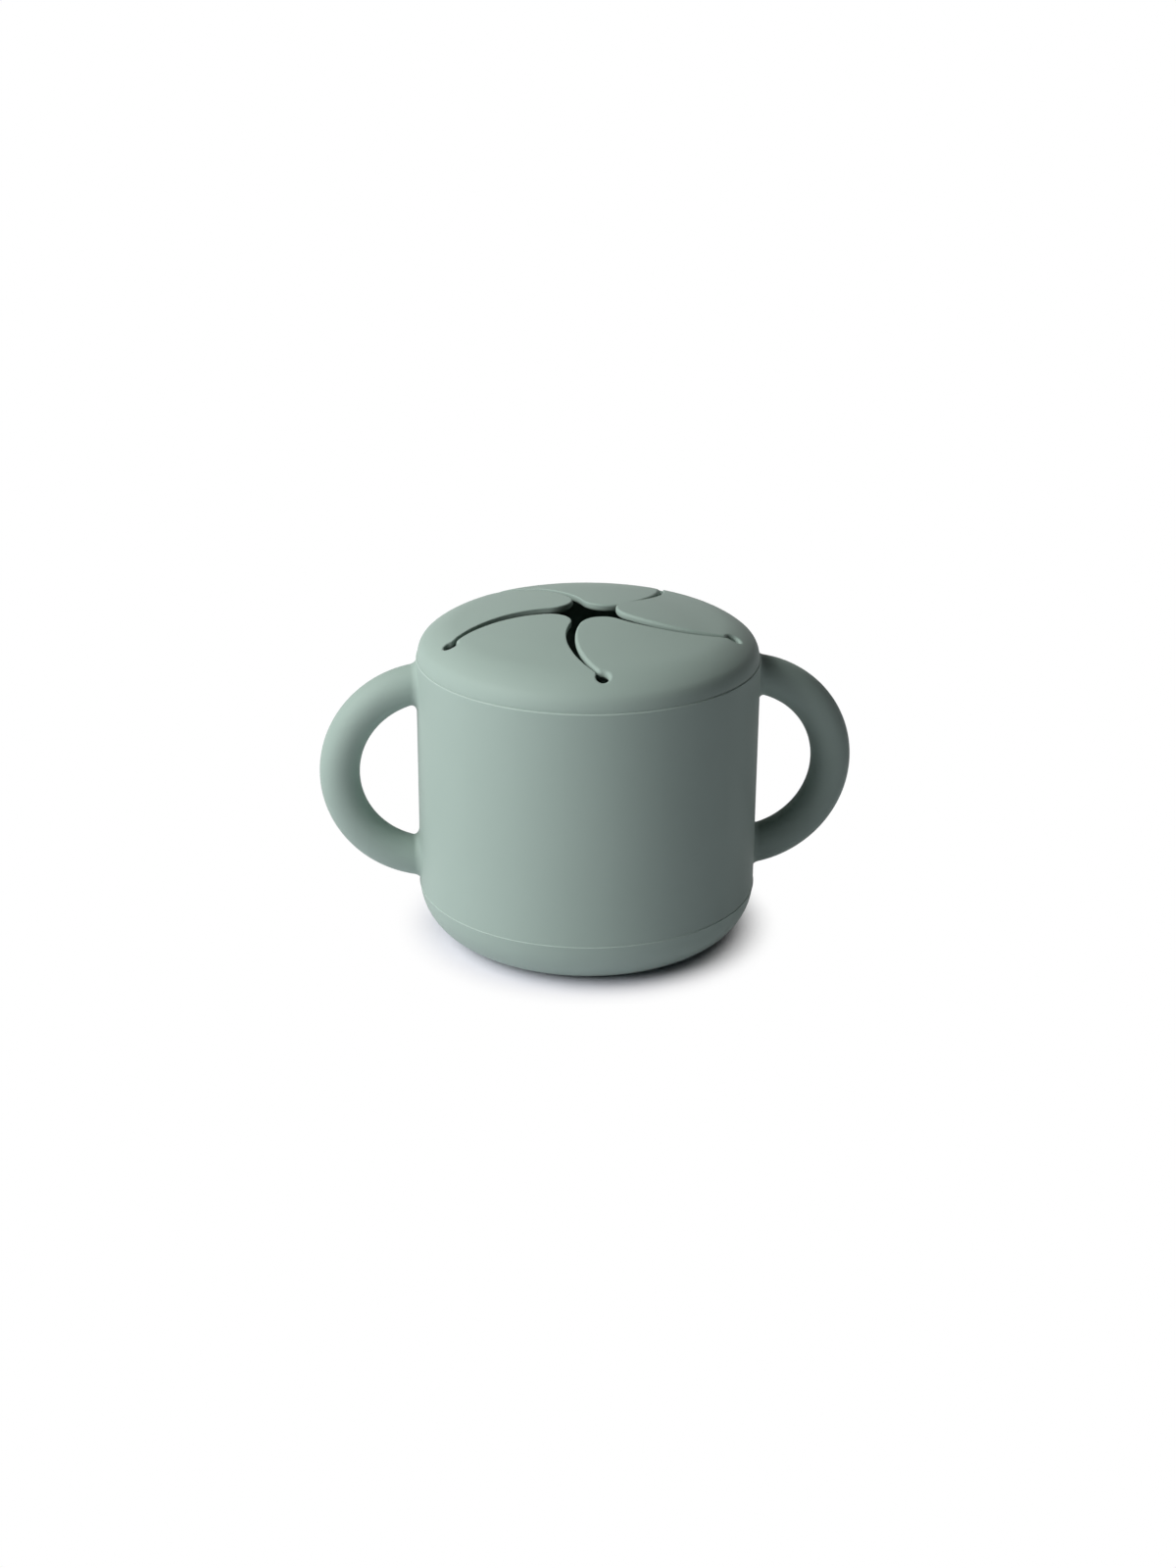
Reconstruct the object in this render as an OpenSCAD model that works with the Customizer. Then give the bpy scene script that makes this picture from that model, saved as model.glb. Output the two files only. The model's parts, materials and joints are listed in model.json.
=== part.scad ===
// Snack container for a toddler: a silicone cup with two ring handles, and a domed
// silicone lid whose swirling slits leave five flaps that a small hand pushes through.
// Origin at the middle of the base, +Z up, handles along X, front towards -Y.

/* [Cup] */
// Outer diameter of the cup and of the lid
cup_d = 88; // [80:1:98]
// Height of the cup, up to the seam under the lid
cup_h = 74.7; // [72:0.1:95]
// Thickness of the cup's side wall
cup_wall = 3.2; // [2.4:0.1:4]
// Thickness of the cup's floor
floor_t = 3.6; // [2.4:0.1:6]
// Radius of the rounded corner round the base
base_r = 13.2; // [8:0.1:14]

/* [Handles] */
// Diameter of the round handle bar
bar_d = 10.3; // [8:0.1:11.5]
// Radius of the arc along the middle of the bar
arc_r = 24.25; // [21:0.05:25]
// How far inside the cup's outer face the middle of that arc lies
arc_inset = 4.1; // [2:0.1:6]
// How far the top of the handles lies below the seam under the lid
handle_drop = 0.8; // [0.4:0.1:3]

/* [Lid] */
// Radius of the shallow dome over the middle of the lid
dome_r = 154; // [130:1:200]
// Width of the rounded shoulder between the dome and the side
shoulder_w = 10.1; // [8.5:0.1:11]
// Radius of the shoulder where it leaves the dome
shoulder_r = 19.2; // [17:0.1:23]
// Radius of the shoulder where it meets the side
edge_r = 5.85; // [5:0.05:7]
// Thickness of the crown and of its flaps
skin_t = 2; // [1.4:0.1:2.4]
// Depth of the ring that plugs into the cup
plug_h = 6; // [4:0.1:9]
// Thickness of that ring
plug_t = 1.3; // [1:0.1:2.5]
// Chamfer round the foot of that ring
plug_chamfer = 0.6; // [0.3:0.1:1]
// Clearance between that ring and the cup
plug_gap = 0.3; // [0.2:0.05:0.5]

/* [Slits and flaps] */
// Distance from the axis to the round hole that ends each slit
slit_end_r = 37.3; // [35.5:0.1:37.8]
// Diameter of that hole
slit_end_d = 3.2; // [2:0.1:3.6]
// Angle about the axis of the first slit's end
slit_phase = 197; // [180:0.1:240]
// Radius of a slit's sweep
slit_r = 28.6; // [27:0.1:30]
// Angle between a slit and the line from its end to the axis
slit_lean = 38.2; // [36:0.1:40]
// Width of a slit at its end hole
slit_w = 0.5; // [0.4:0.1:1]
// Angle by which each side of a slit opens away from its middle line
slit_flare = 1.8; // [1.2:0.1:2.4]
// Radius of a flap's blunt tip
tip_r = 6.4; // [4:0.1:8]
// Distance from the axis to the line that a flap bends about
hinge_dist = 26.7; // [25.5:0.1:27]
// Radius of a flap's round root about that line
root_r = 3; // [2.6:0.1:3.2]
// Clearance between a flap's root and the lid
root_gap = 0.3; // [0.2:0.05:0.5]
// Angle at which each flap stands proud of the dome at rest, negative where it sinks
flap_lift = [-1.7, 0.6, 2.2, -2.1, 0.1]; // [-3:0.1:3]

/* [Hidden] */
FLAP_NODES = ["flap_1", "flap_2", "flap_3", "flap_4", "flap_5"];

$fn = 96;
arc_steps = 10;      // chords along each arc of an outline
cut_over = 5;        // how far a cutter runs past what it cuts
sage = [0.60, 0.67, 0.63];
sage_lid = [0.64, 0.70, 0.66];
sage_flap = [0.56, 0.63, 0.60];

cup_r = cup_d / 2;
bore_r = cup_r - cup_wall;
plug_r = bore_r - plug_gap;
plug_bore_r = plug_r - plug_t;
plug_z = cup_h - plug_h;
handle_x = cup_r - arc_inset;
handle_z = cup_h - handle_drop - bar_d / 2 - arc_r;
flap_count = len(FLAP_NODES);
pitch = 360 / flap_count;
slit_end = [slit_end_r, 0];

// The crown's outline is three arcs, tangent to each other, to a level line over
// the axis and to the upright side: dome, shoulder and edge.
dome_edge = asin((cup_r - shoulder_w) / dome_r);
shoulder_x = (dome_r - shoulder_r) * sin(dome_edge);
shoulder_edge = asin((cup_r - edge_r - shoulder_x) / (shoulder_r - edge_r));
shoulder_drop = (shoulder_r - edge_r) * cos(shoulder_edge);
dome_drop = (dome_r - shoulder_r) * cos(dome_edge);
crown_h = dome_r - dome_drop - shoulder_drop;
top_z = cup_h + crown_h;

// Points of an arc about [x, z], in degrees from upright, towards +x
function arc_points(centre, r, from, to) =
    [for (i = [0:arc_steps]) let (a = from + (to - from) * i / arc_steps)
        centre + r * [sin(a), cos(a)]];

// Outline of the crown at a depth under its outer face, from the axis to the side
function crown_outline(depth) = concat(
    arc_points([0, top_z - dome_r], dome_r - depth, 0, dome_edge),
    arc_points([shoulder_x, top_z - dome_r + dome_drop], shoulder_r - depth,
        dome_edge, shoulder_edge),
    arc_points([cup_r - edge_r, cup_h], edge_r - depth, shoulder_edge, 90));

// Height of the dome's outer face at a distance from the axis
function dome_z(r) = top_z - dome_r + sqrt(dome_r * dome_r - r * r);

function turned(p, a) = [p.x * cos(a) - p.y * sin(a), p.x * sin(a) + p.y * cos(a)];

// Middle of the circle that one side of a slit follows, swung about the slit's end
function sweep_centre(swing) =
    slit_end + slit_r * [-sin(slit_lean + swing), cos(slit_lean + swing)];

// Where two circles cross, on the side nearer the axis
function crossing(p, rp, q, rq) =
    let (d = norm(q - p), along = (d * d + rp * rp - rq * rq) / (2 * d),
        across = sqrt(rp * rp - along * along), u = (q - p) / d)
    p + along * u + across * [-u.y, u.x];

// Points of the arc about a centre from one point to another, the short way round
function arc_between(centre, p, q) =
    let (v = p - centre, w = q - centre,
        sweep = atan2(v.x * w.y - v.y * w.x, v.x * w.x + v.y * w.y))
    [for (i = [0:arc_steps]) centre + turned(v, sweep * i / arc_steps)];

// A flap lies between its own slit, whose end is on +X, and the next slit. It bulges
// into its own slit and is hollowed by the next one. With no flare and no width, the
// same outline runs down the middle of both slits.
function bulge_r(w) = slit_r - w / 2;
function hollow_r(w) = slit_r + w / 2;
function next_centre(flare) = turned(sweep_centre(flare), pitch);
function bulge_start(flare, w) =
    slit_end + (w / 2) * (sweep_centre(-flare) - slit_end) / slit_r;
function hollow_start(flare, w) =
    slit_end - (w / 2) * (sweep_centre(flare) - slit_end) / slit_r;
function tip_centre(flare, w) = crossing(
    sweep_centre(-flare), bulge_r(w) - tip_r, next_centre(flare), hollow_r(w) + tip_r);
function tip_start(flare, w) = let (c = tip_centre(flare, w))
    c + tip_r * (c - sweep_centre(-flare)) / (bulge_r(w) - tip_r);
function tip_end(flare, w) = let (c = tip_centre(flare, w))
    c + tip_r * (next_centre(flare) - c) / (hollow_r(w) + tip_r);
function bulge(flare, w) = arc_between(
    sweep_centre(-flare), bulge_start(flare, w), tip_start(flare, w));
function blunt_tip(flare, w) = arc_between(
    tip_centre(flare, w), tip_start(flare, w), tip_end(flare, w));
function hollow(flare, w) = arc_between(
    next_centre(flare), tip_end(flare, w), turned(hollow_start(flare, w), pitch));
function flap_outline(flare, w) =
    concat(bulge(flare, w), blunt_tip(flare, w), hollow(flare, w));

// The line that a flap bends about, square to the direction hinge_turn
hinge_turn = pitch / 2;
hinge_half = slit_end_r * sin(hinge_turn);
hinge_z = dome_z(norm([hinge_dist, hinge_half / 2])) - skin_t / 2;
// Along that line the root runs from beside the flap's own slit to where the hollow
// side crosses it. Past there the lid keeps the thin sliver between root and slit.
hollow_mid = turned(next_centre(slit_flare), -hinge_turn);
root_end = hollow_mid.y
    - sqrt(pow(hollow_r(slit_w), 2) - pow(hinge_dist - hollow_mid.x, 2));

module slit_shape() {
    translate(slit_end) circle(d = slit_end_d);
    polygon(concat(
        bulge(slit_flare, slit_w),
        [for (p = hollow(slit_flare, slit_w)) turned(p, -pitch)]));
}

// All that turns with a flap: what lies inside the hinge line, and a round root,
// with a gap all round that the lid leaves to it
module hinge_zone(gap)
    rotate(hinge_turn) {
        translate([-cup_r, -cup_r, cup_h]) cube([cup_r + hinge_dist, cup_d, top_z]);
        translate([hinge_dist, root_end + gap, hinge_z])
            rotate([90, 0, 0]) cylinder(h = cup_r, r = root_r + gap);
    }

module flap_place(k) rotate(slit_phase + k * pitch) children();

module crown_shape(depth, foot)
    polygon(concat(crown_outline(depth), [[cup_r - depth, foot], [0, foot]]));

// Half outline of the cup's outside, or of the hollow inside it
module cup_half(side_r, bottom, corner_r, top) {
    translate([0, bottom + corner_r]) square([side_r, top - bottom - corner_r]);
    translate([0, bottom]) square([side_r - corner_r, top - bottom]);
    translate([side_r - corner_r, bottom + corner_r]) circle(r = corner_r);
}

module cup_outside() cup_half(cup_r, 0, base_r, cup_h);

module cup()
    color(sage) rotate_extrude() difference() {
        cup_outside();
        cup_half(bore_r, floor_t, base_r - cup_wall, cup_h + cut_over);
    }

// A ring on the +X side, less what of it lies inside the cup
module handle()
    difference() {
        translate([handle_x, 0, handle_z]) rotate([90, 0, 0])
            rotate_extrude() translate([arc_r, 0]) circle(d = bar_d);
        rotate_extrude() cup_outside();
    }

module handle_right() color(sage) handle();

module handle_left() color(sage) mirror([1, 0, 0]) handle();

module flap(k)
    color(sage_flap) flap_place(k)
        rotate(hinge_turn) translate([hinge_dist, 0, hinge_z]) rotate([0, flap_lift[k], 0])
        translate([-hinge_dist, 0, -hinge_z]) rotate(-hinge_turn)
        intersection() {
            rotate_extrude() difference() {
                crown_shape(0, cup_h);
                crown_shape(skin_t, cup_h);
            }
            translate([0, 0, cup_h]) linear_extrude(top_z)
                polygon(flap_outline(slit_flare, slit_w));
            hinge_zone(0);
        }

module lid()
    color(sage_lid) difference() {
        rotate_extrude() difference() {
            union() {
                crown_shape(0, cup_h);
                polygon([
                    [0, cup_h], [plug_r, cup_h],
                    [plug_r, plug_z + plug_chamfer], [plug_r - plug_chamfer, plug_z],
                    [0, plug_z]]);
            }
            intersection() {
                crown_shape(skin_t, plug_z - cut_over);
                translate([0, plug_z - cut_over]) square([plug_bore_r, top_z]);
            }
        }
        translate([0, 0, cup_h]) linear_extrude(top_z) {
            circle(r = norm(tip_centre(slit_flare, slit_w)));
            for (k = [0:flap_count - 1]) flap_place(k) slit_shape();
        }
        for (k = [0:flap_count - 1]) flap_place(k) intersection() {
            translate([0, 0, cup_h]) linear_extrude(top_z) polygon(flap_outline(0, 0));
            hinge_zone(root_gap);
        }
    }

cup();
handle_left();
handle_right();
lid();
for (k = [0:flap_count - 1])
    flap(k);
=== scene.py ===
import json
import math

import bmesh
import bpy
from mathutils import Matrix, Vector
from mathutils.geometry import intersect_sphere_sphere_2d

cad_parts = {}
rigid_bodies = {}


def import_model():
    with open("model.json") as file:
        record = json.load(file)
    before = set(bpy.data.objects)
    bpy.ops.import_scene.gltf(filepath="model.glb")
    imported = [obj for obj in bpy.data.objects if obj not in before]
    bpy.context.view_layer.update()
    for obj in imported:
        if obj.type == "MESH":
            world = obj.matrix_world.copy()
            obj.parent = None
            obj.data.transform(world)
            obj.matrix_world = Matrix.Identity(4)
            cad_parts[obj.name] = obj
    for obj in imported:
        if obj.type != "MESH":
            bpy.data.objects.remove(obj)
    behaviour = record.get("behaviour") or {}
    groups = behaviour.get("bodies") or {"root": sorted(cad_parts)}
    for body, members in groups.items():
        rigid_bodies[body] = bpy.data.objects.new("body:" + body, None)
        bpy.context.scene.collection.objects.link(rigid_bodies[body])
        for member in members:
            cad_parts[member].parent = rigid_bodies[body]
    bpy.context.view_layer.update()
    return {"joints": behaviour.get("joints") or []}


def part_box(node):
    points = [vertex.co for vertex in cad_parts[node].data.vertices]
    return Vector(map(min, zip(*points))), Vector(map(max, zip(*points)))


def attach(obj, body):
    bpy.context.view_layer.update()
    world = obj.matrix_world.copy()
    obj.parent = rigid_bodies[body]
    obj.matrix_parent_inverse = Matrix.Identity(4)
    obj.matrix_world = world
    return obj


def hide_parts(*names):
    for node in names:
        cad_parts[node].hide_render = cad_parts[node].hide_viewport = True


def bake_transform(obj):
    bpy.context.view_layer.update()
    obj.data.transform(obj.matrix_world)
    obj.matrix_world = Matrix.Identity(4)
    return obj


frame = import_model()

# The cup: a moulding in sage green silicone, a straight round wall on a rounded base.
# Its mould parted where the base starts to curve, which left a faint step out there.
# Pieces are modelled in millimetres, and to_metres() brings each to the frame's size.
mm = 0.001
same_place = 1e-3
rim_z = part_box("cup")[1].z / mm
cup_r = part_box("cup")[1].x / mm
cup_wall = 3.2
floor_t = 3.6
base_r = 13.2
round_steps = 180
base_steps = 16
bore_steps = 12
rim_edge_r = 0.4
rim_edge_steps = 4
parting_z = 12.94
parting_half = 0.05
parting_proud = 0.16
wall_loops = 9
smooth_below = math.radians(35)
sage_pale = (0.341, 0.432, 0.387, 1)
sage_deep = (0.315, 0.404, 0.359, 1)
clouds_per_metre = 38
grains_per_metre = 2600
matte = 0.52
cloud_matte = 0.08
grain_matte = 0.06
grain_height = 0.00003
# Painted highlights: thin bands of paler colour at given heights, standing in for light caught by
# moulded edges.
painted_highlight_colour = (0.56, 0.66, 0.61, 1)
painted_highlight_strength = 0.35
painted_highlight_reach = 0.22


def pick(kind, test):
    """Selects the edges or faces of the mesh in edit mode that pass a test on their middle."""
    bpy.ops.mesh.select_mode(type=kind)
    bpy.ops.mesh.select_all(action="DESELECT")
    mesh = bmesh.from_edit_mesh(bpy.context.object.data)
    for part in mesh.faces if kind == "FACE" else mesh.edges:
        middle = sum((v.co for v in part.verts), Vector()) / len(part.verts)
        if test(middle, part):
            part.select_set(True)
    bmesh.update_edit_mesh(bpy.context.object.data)


def level(z):
    """A test for edges or faces that lie flat at a height."""
    return lambda middle, part: all(abs(v.co.z - z) < same_place for v in part.verts)


def start_piece(name):
    """Names the new primitive, and goes into edit mode with all of it selected."""
    piece = bpy.context.object
    piece.name = name
    piece.data.name = name
    bpy.ops.object.mode_set(mode="EDIT")
    bpy.ops.mesh.select_all(action="SELECT")
    return piece


def to_metres(piece):
    """Leaves edit mode, brings the piece to metres and smooths it."""
    if piece.mode == "EDIT":
        bpy.ops.mesh.select_all(action="SELECT")
        bpy.ops.mesh.normals_make_consistent(inside=False)
        bpy.ops.object.mode_set(mode="OBJECT")
    bpy.ops.object.select_all(action="DESELECT")
    piece.select_set(True)
    bpy.context.view_layer.objects.active = piece
    piece.scale = (mm, mm, mm)
    bpy.ops.object.transform_apply(location=True, rotation=True, scale=True)
    bpy.ops.object.shade_smooth_by_angle(angle=smooth_below)
    bpy.ops.object.modifier_add(type="WEIGHTED_NORMAL")
    piece.modifiers[-1].keep_sharp = True
    bpy.ops.object.modifier_apply(modifier=piece.modifiers[-1].name)


class Wire:
    """A value in a material: arithmetic on it adds the Math node that works it out."""

    def __init__(self, finish, socket):
        self.finish = finish
        self.socket = socket

    def maths(self, operation, first, second=0):
        return self.finish.node("ShaderNodeMath", {"operation": operation}, {0: first, 1: second})

    def __add__(self, other):
        return self.maths("ADD", self, other)

    def __radd__(self, other):
        return self.maths("ADD", other, self)

    def __sub__(self, other):
        return self.maths("SUBTRACT", self, other)

    def __rsub__(self, other):
        return self.maths("SUBTRACT", other, self)

    def __mul__(self, other):
        return self.maths("MULTIPLY", self, other)

    def __rmul__(self, other):
        return self.maths("MULTIPLY", other, self)


class Finish:
    """A material or the room's light being made, and the one way to add a node to it."""

    def __init__(self, owner):
        owner.use_nodes = True
        self.tree = owner.node_tree
        self.tree.nodes.clear()

    def node(self, kind, settings=None, inputs=None, output=0):
        made = self.tree.nodes.new(kind)
        for setting, value in (settings or {}).items():
            setattr(made, setting, value)
        for socket, value in (inputs or {}).items():
            if isinstance(value, Wire):
                self.tree.links.new(value.socket, made.inputs[socket])
            else:
                made.inputs[socket].default_value = value
        return Wire(self, made.outputs[output]) if made.outputs else None


def silicone(name, painted_highlight_heights=()):
    """Matte silicone, softly clouded and finely grained, with painted highlights: thin paler lines
    at some heights.
    """
    material = bpy.data.materials.new(name)
    finish = Finish(material)
    place = finish.node("ShaderNodeTexCoord", output="Object")

    def noise(per_metre, detail):
        return finish.node(
            "ShaderNodeTexNoise", {}, {"Vector": place, "Scale": per_metre, "Detail": detail})

    clouds = noise(clouds_per_metre, 3.0)
    grain = noise(grains_per_metre, 2.0)
    colour = finish.node(
        "ShaderNodeMix", {"data_type": "RGBA"}, {0: clouds, 6: sage_deep, 7: sage_pale}, output=2)
    # Each height gets a painted highlight, a thin band of paler colour that fades out over the
    # reach.
    for z in painted_highlight_heights:
        height = finish.node("ShaderNodeSeparateXYZ", {}, {0: place}, output="Z")
        away = height.maths("ABSOLUTE", height - z * mm)
        painted_highlight_mask = finish.node("ShaderNodeMapRange", {}, {
            "Value": away, "From Min": 0, "From Max": painted_highlight_reach * mm,
            "To Min": painted_highlight_strength, "To Max": 0})
        colour = finish.node(
            "ShaderNodeMix", {"data_type": "RGBA"}, {0: painted_highlight_mask, 6: colour, 7: painted_highlight_colour}, output=2)
    bump = finish.node(
        "ShaderNodeBump", {}, {"Strength": 0.25, "Distance": grain_height, "Height": grain})
    surface = finish.node("ShaderNodeBsdfPrincipled", {}, {
        "Base Color": colour,
        "Roughness": matte + clouds * cloud_matte + grain * grain_matte,
        "IOR": 1.41,
        "Specular IOR Level": 0.22,
        "Sheen Weight": 0.05,
        "Sheen Roughness": 0.5,
        "Normal": bump,
    })
    finish.node("ShaderNodeOutputMaterial", {}, {"Surface": surface})
    return material


# The parting step and the seam at the rim show as thin light lines. The step is real geometry, and
# both lines are painted highlights: thin bands of paler colour where these edges catch the light.
cup_silicone = silicone("cup_silicone", [parting_z, rim_z - painted_highlight_reach])

bpy.ops.object.select_all(action="DESELECT")
bpy.ops.mesh.primitive_cylinder_add(
    vertices=round_steps, radius=cup_r, depth=rim_z, location=(0, 0, rim_z / 2))
bpy.ops.object.transform_apply(location=True, rotation=True, scale=True)
cup = start_piece("cup_moulding")
pick("FACE", level(rim_z))
bpy.ops.mesh.inset(thickness=cup_wall)
bpy.ops.mesh.extrude_region_move(TRANSFORM_OT_translate={"value": (0, 0, floor_t - rim_z)})
pick("EDGE", level(floor_t))
bpy.ops.mesh.bevel(offset=base_r - cup_wall, segments=bore_steps, affect="EDGES")
pick("EDGE", level(0))
bpy.ops.mesh.bevel(offset=base_r, segments=base_steps, affect="EDGES")
pick("EDGE", level(rim_z))
bpy.ops.mesh.bevel(offset=rim_edge_r, segments=rim_edge_steps, affect="EDGES")
loops = [parting_z - parting_half, parting_z + parting_half]
loops += [base_r + (rim_z - base_r) * (i + 0.5) / wall_loops for i in range(wall_loops)]
for z in loops:
    bpy.ops.mesh.select_all(action="SELECT")
    bpy.ops.mesh.bisect(plane_co=(0, 0, z), plane_no=(0, 0, 1), threshold=same_place)
pick("EDGE", lambda middle, part: (
    level(parting_z - parting_half)(middle, part)
    and middle.xy.length > cup_r - cup_wall / 2))
bpy.ops.transform.resize(value=(1 + parting_proud / cup_r, 1 + parting_proud / cup_r, 1))
to_metres(cup)
cup.data.materials.append(cup_silicone)
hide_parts("cup")
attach(cup, "cup")

# The handles: two round silicone rings, moulded in one with the cup, big enough for a
# toddler's fingers. Each bar flares a little where it runs into the cup's wall, more on
# the inside of the ring than at the top, where the lid's seam is close above it.
bar_r = 5.15
bar_steps = 56
arc_r = 24.25
arc_steps = 140
arc_x = cup_r - 4.1
arc_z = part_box("handle_right")[1].z / mm - bar_r - arc_r
flare = 1.6
flare_steps = 7
flare_shift = 0.7
root_sunk = 0.6
fine_snap = 1e-4

bpy.ops.object.select_all(action="DESELECT")
bpy.ops.mesh.primitive_torus_add(
    major_radius=arc_r, minor_radius=bar_r, major_segments=arc_steps, minor_segments=bar_steps,
    location=(arc_x, 0, arc_z), rotation=(math.radians(90), 0, 0))
bpy.ops.object.transform_apply(location=True, rotation=True, scale=True)
right_handle = start_piece("handle_moulding_right")
bpy.ops.mesh.bisect(
    plane_co=(cup_r + flare, 0, 0), plane_no=(1, 0, 0), clear_inner=True,
    threshold=fine_snap)
for side in (1, -1):
    x = cup_r + flare
    width = 1
    z = arc_z + side * math.sqrt(arc_r ** 2 - (x - arc_x) ** 2)
    for step in range(1, flare_steps + 1):
        turn = math.radians(90) * step / flare_steps
        new_x = cup_r + flare * (1 - math.sin(turn))
        new_width = 1 + flare * (1 - math.cos(turn)) / bar_r
        new_z = arc_z + side * (
            math.sqrt(arc_r ** 2 - (new_x - arc_x) ** 2) - flare_shift * (1 - math.cos(turn)))
        pick("EDGE", lambda middle, part: (
            abs(middle.x - x) < same_place and (middle.z - arc_z) * side > 0
            and part.is_boundary))
        bpy.ops.mesh.extrude_region_move(
            TRANSFORM_OT_translate={"value": (new_x - x, 0, new_z - z)})
        bpy.ops.transform.resize(
            value=(1, new_width / width, new_width / width), center_override=(new_x, 0, new_z))
        x, z, width = new_x, new_z, new_width
    bpy.ops.mesh.extrude_region_move(TRANSFORM_OT_translate={"value": (-root_sunk, 0, 0)})
    bpy.ops.mesh.edge_face_add()
# The ends of the bars follow the round wall.
handle_mesh = bmesh.from_edit_mesh(right_handle.data)
for v in handle_mesh.verts:
    reach = min(1, max(0, 1 - (v.co.x - cup_r) / flare))
    v.co.x -= reach * (cup_r - math.sqrt(cup_r ** 2 - v.co.y ** 2))
bmesh.update_edit_mesh(right_handle.data)
bpy.ops.object.mode_set(mode="OBJECT")
bpy.ops.object.duplicate()
left_handle = bpy.context.object
left_handle.name = "handle_moulding_left"
left_handle.data.name = "handle_moulding_left"
left_handle.scale.x = -1
bpy.ops.object.transform_apply(location=True, rotation=True, scale=True)
for handle, node in ((right_handle, "handle_right"), (left_handle, "handle_left")):
    bpy.ops.object.select_all(action="DESELECT")
    bpy.context.view_layer.objects.active = handle
    bpy.ops.object.mode_set(mode="EDIT")
    to_metres(handle)
    handle.data.materials.append(cup_silicone)
    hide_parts(node)
    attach(handle, "cup")

# The lid: one silicone moulding, a domed crown with a ring under it that plugs the cup. Five
# slits sweep in from round holes to the middle and leave five blunt flaps. A fifth of the
# crown is drawn flat, with every edge of its slit rounded over, and then is bent to the dome.
flap_count = 5
pitch = math.tau / flap_count
slit_phase = math.radians(197)
slit_end_r = 37.3
hole_r = 1.6
slit_r = 28.6
slit_lean = math.radians(38.2)
slit_flare = math.radians(2.3)
slit_w = 0.65
tip_r = 6.4
throat_r = 1.3
skin_t = 2
soft_lip = 0.9
tip_lip = 0.7
crisp_lip = 0.3
under_lip = 0.9
lip_ramp = 0.9
lip_steps = 6
outline_slack = 0.02
plug_gap = 0.3
plug_wall = 1.3
plug_depth = 6
plug_r = cup_r - cup_wall - plug_gap
plug_bore_r = plug_r - plug_wall
plug_z = rim_z - plug_depth
plug_chamfer = 0.6
skirt_edge_r = 0.02
skirt_inset = 0.3
skirt_straight = 0.6
sheet_r = 40.2
sheet_slack = 0.01
same_turn = 1e-4
split_s = 27.6
spoke = math.tau / round_steps
hole_chord = 0.3
throat_chord = 0.25
side_chord = 0.8
tip_chord = 0.5
shoulder_chord = 0.6
edge_chord = 0.5
skirt_chord = 0.06
chord_spare = 1.001
seam_snap = 2e-3
cut_snap = 0.03
split_margin = 0.3
flap_row = 1.6
flap_rows = 15
flap_lane = 1.8
flap_lanes = 12
ring_loops = (28.5, 30, 31.5, 33, 34.1, 35.1, 36.1, 37.1, 38.1, 39.1, 39.7)
up = Vector((0, 0, 1))
down = -up
front_to_back = Vector((0, 1, 0))

# The crown's outline is three arcs, given by centre, radius and where they end.
dome_r, shoulder_r, edge_r = 154, 19.2, 5.85
dome_end = math.asin((cup_r - 10.1) / dome_r)
shoulder_x = (dome_r - shoulder_r) * math.sin(dome_end)
shoulder_end = math.asin((cup_r - edge_r - shoulder_x) / (shoulder_r - edge_r))
shoulder_z = rim_z + (edge_r - shoulder_r) * math.cos(shoulder_end)
dome_z = shoulder_z + (shoulder_r - dome_r) * math.cos(dome_end)
crown_arcs = [
    (0, dome_z, dome_r, dome_end),
    (shoulder_x, shoulder_z, shoulder_r, shoulder_end),
    (cup_r - edge_r, rim_z, edge_r, math.radians(90)),
]


def crown_z(r, depth):
    """Height of the crown at a distance from the axis, at a depth under its outer face."""
    for x, z, radius, end in crown_arcs:
        if r <= x + (radius - depth) * math.sin(end) + 1e-6:
            return z + math.sqrt(max(0, (radius - depth) ** 2 - (r - x) ** 2))


def eased(share):
    """A share kept from 0 to 1, with a gentle start and end."""
    share = min(1, max(0, share))
    return share * share * (3 - 2 * share)


def polar(r, angle):
    """A place in the flat, by its distance from the axis and its angle from the right."""
    return Vector((r * math.cos(angle), r * math.sin(angle), 0))


def toward(start, end, distance):
    """The place at a distance from a start, on the way to an end."""
    return start + (end - start).normalized() * distance


def slit_centre(swing, turn):
    """Middle of the circle that a slit's side follows, swung about the slit's end."""
    return Matrix.Rotation(turn, 3, "Z") @ (
        polar(slit_end_r, 0) + polar(slit_r, slit_lean + swing + math.radians(90)))


def crossing(p, p_r, q, q_r, near):
    """Where two flat circles cross, nearest to a point."""
    found = intersect_sphere_sphere_2d(p.xy, p_r, q.xy, q_r)
    return min((point.to_3d() for point in found), key=lambda point: (point - near).length)


def pen_down(point):
    """Adds one vertex to the mesh in edit mode, and selects it alone."""
    global pen
    bpy.ops.mesh.select_mode(type="VERT")
    bpy.ops.mesh.select_all(action="DESELECT")
    bpy.ops.mesh.primitive_plane_add(size=1)
    bpy.ops.mesh.merge(type="CENTER")
    bpy.ops.transform.translate(value=point)
    pen = point


def line_to(point):
    """Draws a straight edge from the pen."""
    global pen
    bpy.ops.mesh.extrude_region_move(TRANSFORM_OT_translate={"value": point - pen})
    pen = point


def swept(start, end, centre, axis):
    """Angle from one point to another, anticlockwise about a centre seen from the axis's end."""
    start, end = start - centre, end - centre
    return math.atan2(axis.dot(start.cross(end)), start.dot(end)) % math.tau


def arc_to(point, centre, axis, chord):
    """Draws an arc from the pen, in edges no longer than a chord."""
    global pen
    angle = swept(pen, point, centre, axis)
    steps = max(2, math.ceil(angle * (point - centre).length / chord))
    bpy.ops.mesh.spin(steps=steps, angle=-angle, center=centre, axis=axis)
    pen = point


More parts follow.
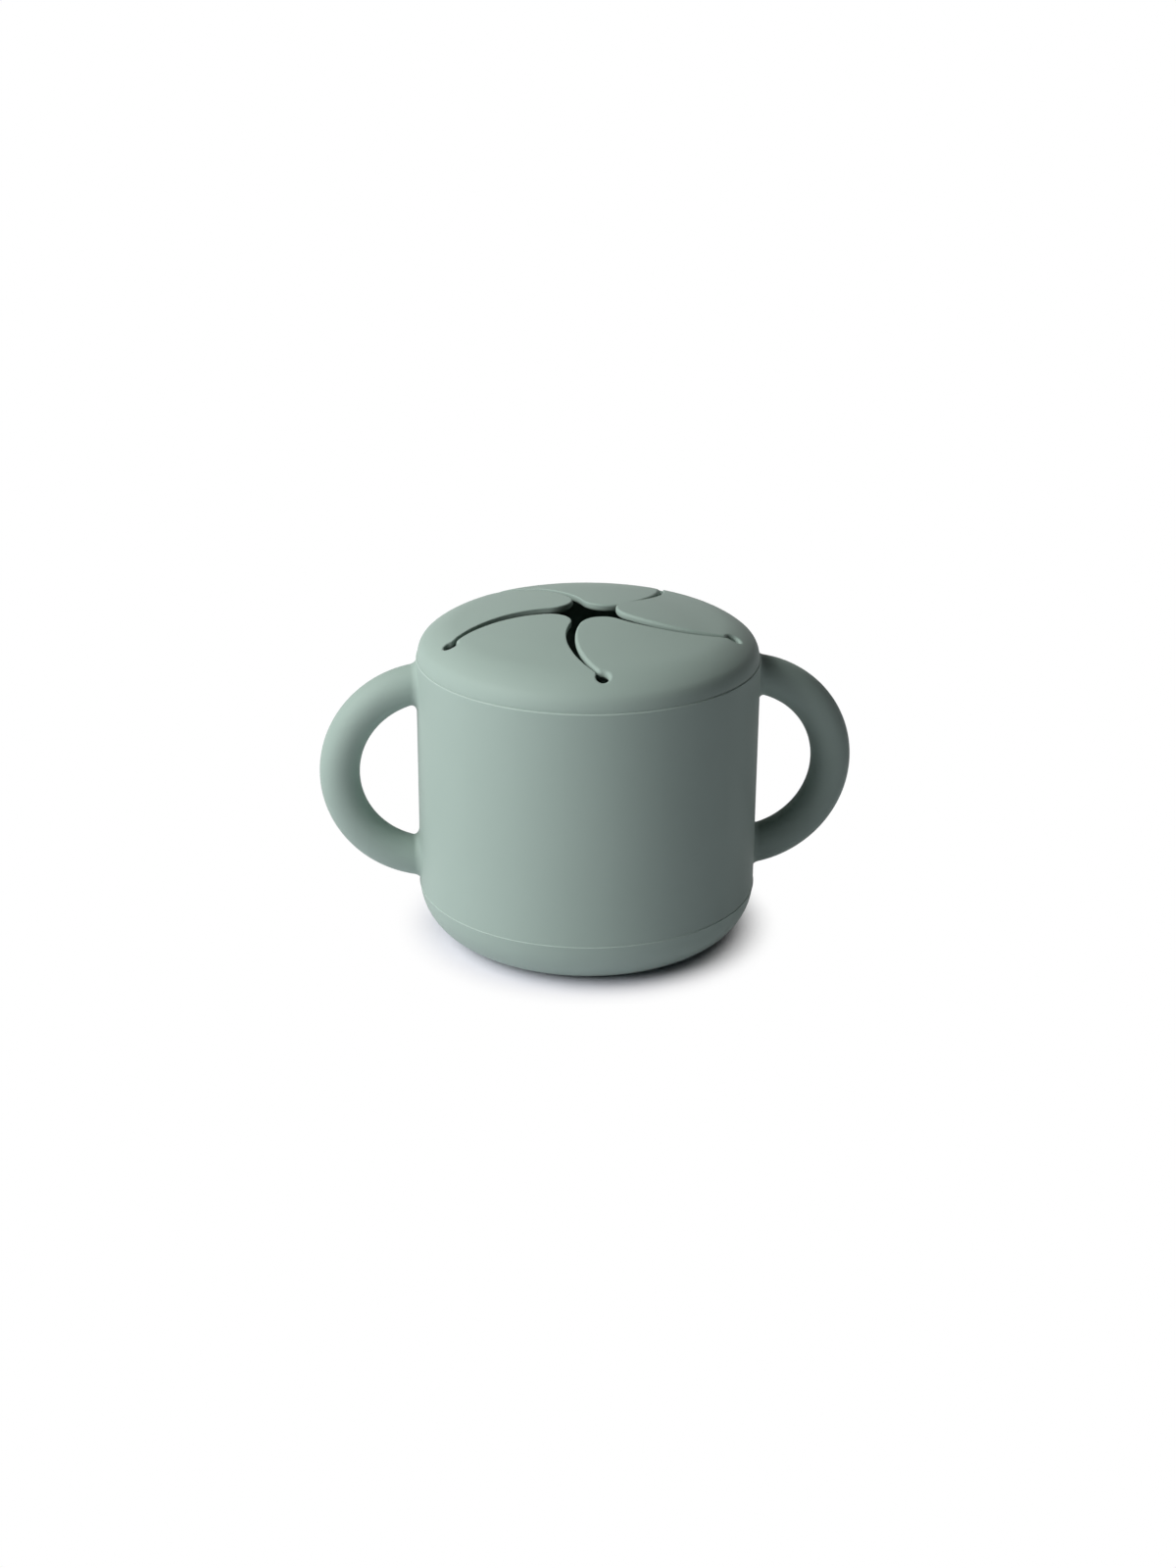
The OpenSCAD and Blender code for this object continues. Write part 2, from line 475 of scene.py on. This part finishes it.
petal_way = polar(1, pitch / 2)
petal_side = polar(1, pitch / 2 + math.radians(90))
hole = polar(slit_end_r, 0)
next_hole = polar(slit_end_r, pitch)
bulge_centre, bulge_r = slit_centre(-slit_flare, 0), slit_r - slit_w / 2
hollow_centre, hollow_r = slit_centre(slit_flare, pitch), slit_r + slit_w / 2
tip = crossing(bulge_centre, bulge_r - tip_r, hollow_centre, hollow_r + tip_r, polar(0, 0))
throat = crossing(hole, hole_r + throat_r, bulge_centre, bulge_r - throat_r, tip)
next_throat = crossing(
    next_hole, hole_r + throat_r, hollow_centre, hollow_r + throat_r, tip)

bpy.ops.object.select_all(action="DESELECT")
bpy.ops.mesh.primitive_plane_add(size=1)
lid = start_piece("lid_moulding")
bpy.ops.mesh.delete(type="VERT")
# Each stretch of a slit's outline: middle, side it turns to, end, longest edge, and how
# far the outer edge is rounded over at its start and from lip_ramp of its length on.
stretches = [
    (hole, up, toward(hole, throat, hole_r), hole_chord, soft_lip, soft_lip),
    (throat, down, toward(throat, bulge_centre, -throat_r), throat_chord, soft_lip, soft_lip),
    (bulge_centre, down, toward(bulge_centre, tip, bulge_r), side_chord, soft_lip, tip_lip),
    (tip, down, toward(tip, hollow_centre, tip_r), tip_chord, tip_lip, crisp_lip),
    (hollow_centre, up, toward(hollow_centre, next_throat, hollow_r),
     side_chord, crisp_lip, crisp_lip),
    (next_throat, down, toward(next_throat, next_hole, throat_r),
     throat_chord, crisp_lip, crisp_lip),
    (next_hole, up, polar(slit_end_r + hole_r, pitch), hole_chord, crisp_lip, soft_lip),
]
pen_down(polar(sheet_r, 0))
line_to(polar(slit_end_r + hole_r, 0))
spans = []
for centre, axis, end, chord, first_lip, last_lip in stretches:
    spans.append(
        (centre, axis, pen - centre, first_lip, last_lip, swept(pen, end, centre, axis)))
    arc_to(end, centre, axis, chord)
line_to(polar(sheet_r, pitch))
# The chord is a hair longer than a spoke's, so that the rim gets one edge for each spoke.
arc_to(polar(sheet_r, 0), polar(0, 0), down, sheet_r * spoke * chord_spare)
bpy.ops.mesh.select_all(action="SELECT")
bpy.ops.mesh.remove_doubles(threshold=same_place)
bpy.ops.mesh.edge_face_add()
bpy.ops.mesh.extrude_region_move(TRANSFORM_OT_translate={"value": down * skin_t})
bpy.ops.mesh.select_all(action="SELECT")
bpy.ops.mesh.normals_make_consistent(inside=False)


def lip_at(point):
    """How far the outer edge is rounded over at a point, or 0 off the slit's outline."""
    for centre, axis, start, first_lip, last_lip, angle in spans:
        share = swept(centre + start, point, centre, axis) / angle
        if abs((point - centre).length - start.length) < outline_slack and share < 1:
            return first_lip + (last_lip - first_lip) * min(1, share / lip_ramp)
    return 0


outline = bmesh.from_edit_mesh(lid.data)
weight = outline.edges.layers.float.new("bevel_weight_edge")
for edge in outline.edges:
    middle = (edge.verts[0].co + edge.verts[1].co) / 2
    lip = lip_at(Vector((middle.x, middle.y, 0)))
    if lip and level(0)(middle, edge):
        edge[weight] = lip / soft_lip
    elif lip and level(-skin_t)(middle, edge):
        edge[weight] = under_lip / soft_lip
bmesh.update_edit_mesh(lid.data)
bpy.ops.object.mode_set(mode="OBJECT")
bpy.ops.object.modifier_add(type="BEVEL")
rounding = lid.modifiers["Bevel"]
rounding.limit_method = "WEIGHT"
rounding.width = soft_lip
rounding.segments = lip_steps
rounding.use_clamp_overlap = False
rounding.loop_slide = False
bpy.ops.object.modifier_apply(modifier="Bevel")
bpy.ops.object.mode_set(mode="EDIT")


def at_rim(part):
    """Whether an edge or face lies on the sheet's round rim."""
    return min(v.co.xy.length for v in part.verts) > sheet_r - sheet_slack


def on_cut(middle, part):
    """Whether a face closes the fifth at the rim, or against the next fifth."""
    turns = [math.atan2(v.co.y, v.co.x) for v in part.verts]
    on_side = any(all(abs(turn - side) < same_turn for turn in turns) for side in (0, pitch))
    return on_side or at_rim(part)


pick("FACE", on_cut)
bpy.ops.mesh.delete(type="FACE")
pick("EDGE", lambda middle, part: level(-skin_t)(middle, part) and at_rim(part))
bpy.ops.transform.resize(
    value=(plug_bore_r / sheet_r, plug_bore_r / sheet_r, 1), center_override=(0, 0, 0))


def cut(distance, way, inside, snap=cut_snap):
    """Cuts the faces that pass a test along an upright plane that is square to a direction."""
    pick("FACE", inside)
    bpy.ops.mesh.bisect(plane_co=way * distance, plane_no=way, threshold=snap)


def in_flap(middle, part):
    """Whether a face lies on the flap's side of the split."""
    return middle.dot(petal_way) < split_s


def in_rim(middle, part):
    """Whether a face lies on the rim's side of the split."""
    return not in_flap(middle, part)


def in_spoke(way):
    """A test for the rim's faces that lie within half a spoke of a direction."""
    return lambda middle, part: (
        in_rim(middle, part)
        and abs(way.cross(middle).z) < way.dot(middle) * math.tan(spoke / 2))


# The fifth's rim goes into the lid, and its inner part becomes the flaps.
cut(split_s, petal_way, lambda middle, part: True, fine_snap)
for i in range(1, round_steps // flap_count):
    cut(0, polar(1, i * spoke + math.radians(90)), in_rim)
for i in range(round_steps // flap_count):
    way = polar(1, (i + 0.5) * spoke)
    for r in ring_loops:
        cut(r * math.cos(spoke / 2), way, in_spoke(way))
cut(split_s + split_margin, petal_way, in_rim)
cut(split_s - split_margin, petal_way, in_flap)
for i in range(1, flap_rows):
    cut(split_s - flap_row * i, petal_way, in_flap)
for i in range(-flap_lanes, flap_lanes + 1):
    cut(flap_lane * i, petal_side, in_flap)

sheet = bmesh.from_edit_mesh(lid.data)
for v in sheet.verts:
    v.co.z = crown_z(v.co.xy.length, -v.co.z)
bmesh.update_edit_mesh(lid.data)


def on_split(middle, part):
    """Whether an edge is open and lies on the split."""
    return part.is_boundary and abs(middle.dot(petal_way) - split_s) < same_place


pick("FACE", in_flap)
bpy.ops.mesh.separate(type="SELECTED")
pick("EDGE", on_split)
bpy.ops.mesh.edge_face_add()
bpy.ops.mesh.select_all(action="SELECT")
bpy.ops.mesh.spin(
    dupli=True, steps=flap_count - 1, angle=pitch - math.tau, center=(0, 0, 0), axis=up)

# The lid outside the crown's sheet is one profile, spun about the axis.
shoulder_centre = Vector((shoulder_x, 0, shoulder_z))
edge_centre = Vector((cup_r - edge_r, 0, rim_z))
edge_top = edge_centre + edge_r * Vector((math.sin(shoulder_end), 0, math.cos(shoulder_end)))
skirt_out = edge_centre + Vector((math.sqrt(edge_r ** 2 - skirt_edge_r ** 2), 0, skirt_edge_r))
skirt_middle = skirt_out - Vector((skirt_edge_r, 0, 0))
pen_down(Vector((sheet_r, 0, crown_z(sheet_r, 0))))
arc_to(edge_top, shoulder_centre, front_to_back, shoulder_chord)
arc_to(skirt_out, edge_centre, front_to_back, edge_chord)
arc_to(skirt_middle + down * skirt_edge_r, skirt_middle, front_to_back, skirt_chord)
for r, z in (
        (plug_r, rim_z), (plug_r, plug_z + plug_chamfer), (plug_r - plug_chamfer, plug_z),
        (plug_bore_r, plug_z), (plug_bore_r, crown_z(plug_bore_r, skin_t))):
    line_to(Vector((r, 0, z)))
bpy.ops.mesh.select_linked()
bpy.ops.mesh.spin(steps=round_steps, angle=math.tau, center=(0, 0, 0), axis=up)
bpy.ops.mesh.select_all(action="SELECT")
bpy.ops.mesh.remove_doubles(threshold=seam_snap)
skirt = bmesh.from_edit_mesh(lid.data)
for v in skirt.verts:
    if v.co.xy.length > sheet_r and v.co.z > rim_z - same_place:
        rise = eased((v.co.z - rim_z - skirt_straight) / (edge_r - skirt_straight))
        v.co.xy *= 1 - skirt_inset * (1 - rise) / v.co.xy.length
bmesh.update_edit_mesh(lid.data)
petal = next(piece for piece in bpy.context.selected_objects if piece is not lid)
lid.rotation_euler.z = slit_phase
to_metres(lid)
lid_silicone = silicone("lid_silicone")
lid.data.materials.append(lid_silicone)
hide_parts("lid")
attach(lid, "lid")

# The flaps: the inner parts of the crown, moulded in one with the lid. Each bends over a
# band near its root when fingers push it, and at rest each lies a little high or low.
bend_s = 19.5
rest_lifts = [math.radians(lift) for lift in (-1.7, 0.6, 2.2, -2.1, 0.1)]

bpy.ops.object.select_all(action="DESELECT")
petal.select_set(True)
bpy.context.view_layer.objects.active = petal
bpy.ops.object.mode_set(mode="EDIT")
pick("EDGE", on_split)
bpy.ops.mesh.edge_face_add()
bpy.ops.mesh.select_all(action="SELECT")
bpy.ops.mesh.normals_make_consistent(inside=False)
bpy.ops.object.mode_set(mode="OBJECT")
joints = {joint["name"]: joint for joint in frame["joints"]}
for k, lift in enumerate(rest_lifts):
    name = f"flap_{k + 1}"
    hinge = Vector(joints[f"{name}_bend"]["pos_m"])
    bpy.ops.object.select_all(action="DESELECT")
    petal.select_set(True)
    bpy.context.view_layer.objects.active = petal
    bpy.ops.object.duplicate()
    flap = bpy.context.object
    flap.name = f"{name}_moulding"
    flap.data.name = f"{name}_moulding"
    for v in flap.data.vertices:
        along = eased((split_s - v.co.dot(petal_way)) / (split_s - bend_s))
        turn = Matrix.Rotation(lift * along, 3, petal_side)
        pivot = petal_way * hinge.xy.length / mm + up * hinge.z / mm
        v.co = pivot + turn @ (v.co - pivot)
    flap.rotation_euler.z = slit_phase + k * pitch
    to_metres(flap)
    flap.data.materials.append(lid_silicone)
    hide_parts(name)
    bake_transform(flap)
bpy.data.objects.remove(petal)

# The studio: a white table top in a white room, with two soft lamps at the left. The camera
# stands where the photograph was taken from. The table top looks white to the camera and in
# reflections, apart from the shadow close under the cup.
view_turn = math.radians(6.245)
view_drop = math.radians(22.185)
view_roll = math.radians(0.454)
view_distance = 0.60353
view_target = Vector((0, 0, 0.04))
view_lens = 53.07
view_shift = (0.0004, -0.0027)
# Each lamp's turn to the left, its rise and its watts.
lamps = [
    (math.radians(63), math.radians(30), 15),
    (math.radians(89), math.radians(47), 12.6),
]
lamp_distance = 1.5
lamp_size = 0.9
table_size = 3
table_colour = (0.84, 0.83, 0.9, 1)
shadow_reach = 0.015
shadow_dark = 0.2
shadow_gone = 0.85
shadow_samples = 16
plain_white = (1, 1, 1, 1)


def around(turn, rise, distance):
    """A place seen from the middle of the cup, turned from its front to the left."""
    return view_target + distance * Vector((
        -math.sin(turn) * math.cos(rise), -math.cos(turn) * math.cos(rise), math.sin(rise)))


def looked_at(finish):
    """1 where the camera, a reflection or a clear piece shows a surface, and 0 for its light."""
    camera_ray, glossy_ray, clear_ray = (
        finish.node("ShaderNodeLightPath", output=f"Is {ray} Ray")
        for ray in ("Camera", "Glossy", "Transmission"))
    shown = camera_ray.maths("MAXIMUM", camera_ray, glossy_ray)
    return shown.maths("MAXIMUM", shown, clear_ray)


bpy.ops.object.select_all(action="DESELECT")
bpy.ops.mesh.primitive_plane_add(size=table_size)
table_top = bpy.context.object
table_top.name = "table_top"
table_material = bpy.data.materials.new("table_white")
table_white = Finish(table_material)
open_sky = table_white.node(
    "ShaderNodeAmbientOcclusion", {"samples": shadow_samples}, {"Distance": shadow_reach},
    output="AO")
past_shadow = table_white.node(
    "ShaderNodeMapRange", {"interpolation_type": "SMOOTHSTEP"},
    {"Value": open_sky, "From Min": shadow_dark, "From Max": shadow_gone})
shaded = table_white.node("ShaderNodeBsdfDiffuse", {}, {"Color": table_colour})
unshaded = table_white.node("ShaderNodeEmission", {}, {"Color": plain_white, "Strength": 1})
surface = table_white.node(
    "ShaderNodeMixShader", {}, {0: looked_at(table_white) * past_shadow, 1: shaded, 2: unshaded})
table_white.node("ShaderNodeOutputMaterial", {}, {"Surface": surface})
table_top.data.materials.append(table_material)

for turn, rise, watts in lamps:
    bpy.ops.object.light_add(
        type="AREA", location=around(turn, rise, lamp_distance),
        rotation=(math.radians(90) - rise, 0, -turn))
    lamp = bpy.context.object
    lamp.data.shape = "DISK"
    lamp.data.size = lamp_size
    lamp.data.energy = watts

bpy.ops.object.camera_add(location=around(view_turn, view_drop, view_distance))
camera = bpy.context.object
camera.rotation_euler = (
    Matrix.Rotation(-view_turn, 3, "Z") @ Matrix.Rotation(math.radians(90) - view_drop, 3, "X")
    @ Matrix.Rotation(view_roll, 3, "Z")).to_euler()
camera.data.lens = view_lens
camera.data.shift_x, camera.data.shift_y = view_shift
bpy.context.scene.camera = camera

world = bpy.data.worlds.new("room")
bpy.context.scene.world = world
room = Finish(world)
walls = room.node(
    "ShaderNodeBackground", {}, {"Color": plain_white, "Strength": looked_at(room)})
room.node("ShaderNodeOutputWorld", {}, {"Surface": walls})
bpy.context.scene.view_settings.view_transform = "Standard"
